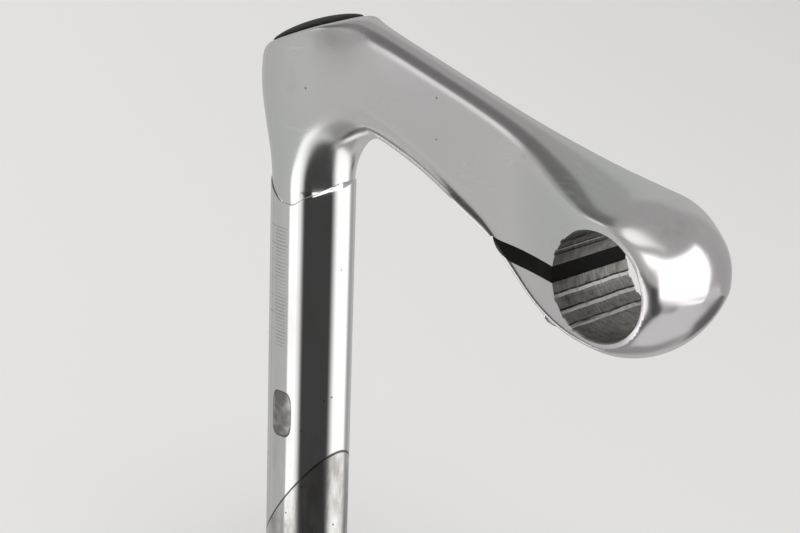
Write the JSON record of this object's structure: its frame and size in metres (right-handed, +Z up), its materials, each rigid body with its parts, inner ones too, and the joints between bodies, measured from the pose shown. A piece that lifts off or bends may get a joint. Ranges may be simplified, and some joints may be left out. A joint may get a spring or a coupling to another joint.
{
  "type": "bicycle handlebar stem",
  "caption": "Forged quill stem with a downward-sloping drop-shaped extension, a hidden-slot handlebar clamp, an expander wedge and an oval top cap.",
  "frame": {"origin": "on the quill's axis, half-way up the part of the quill that can stand level with the locknut", "axes": "+Z up along the steering axis, +X forward along the extension, +Y to the rider's left along the handlebar"},
  "size_m": [0.1434, 0.0316, 0.1704],
  "materials": {
    "polished_aluminium": "polished",
    "wedge_aluminium": "machined",
    "bolt_steel": "zinc plated",
    "black_plastic": "satin",
    "black_rubber": "matte"
  },
  "bodies": {
    "stem": {"stem_body": "polished_aluminium", "slot_insert": "black_rubber", "thread_insert": "bolt_steel", "expander_washer": "bolt_steel"},
    "cap": {"top_cap": "black_plastic"},
    "expander": {"expander_bolt": "bolt_steel"},
    "wedge": {"expander_wedge": "wedge_aluminium"},
    "pinch_carrier": {"pinch_washer": "bolt_steel"},
    "pinch_screw": {"pinch_bolt": "bolt_steel"}
  },
  "joints": [
    {"name": "cap_lift", "type": "slide", "parent": "stem", "child": "cap", "axis": [0, 0, 1], "range_m": [0, 0.02]},
    {"name": "expander_turn", "type": "hinge", "parent": "stem", "child": "expander", "pos_m": [0, 0, 0.06], "axis": [0, 0, -1], "range_deg": [-10, 512.7]},
    {"name": "wedge_ride", "type": "slide", "parent": "stem", "child": "wedge", "axis": [0.5664, 0, 0.8241], "range_m": [0, 0.002]},
    {"name": "pinch_carry", "type": "slide", "parent": "stem", "child": "pinch_carrier", "axis": [-0.0872, 0, -0.9962], "range_m": [0, 0.002]},
    {"name": "pinch_turn", "type": "hinge", "parent": "pinch_carrier", "child": "pinch_screw", "pos_m": [0.08812, 0, 0.04353], "axis": [-0.0872, 0, -0.9962], "range_deg": [-10, 963]}
  ],
  "couplings": [
    {"joint": "expander_turn", "follows": "wedge_ride", "rad_per_m": 4142.5},
    {"joint": "pinch_turn", "follows": "pinch_carry", "rad_per_m": 7854}
  ]
}
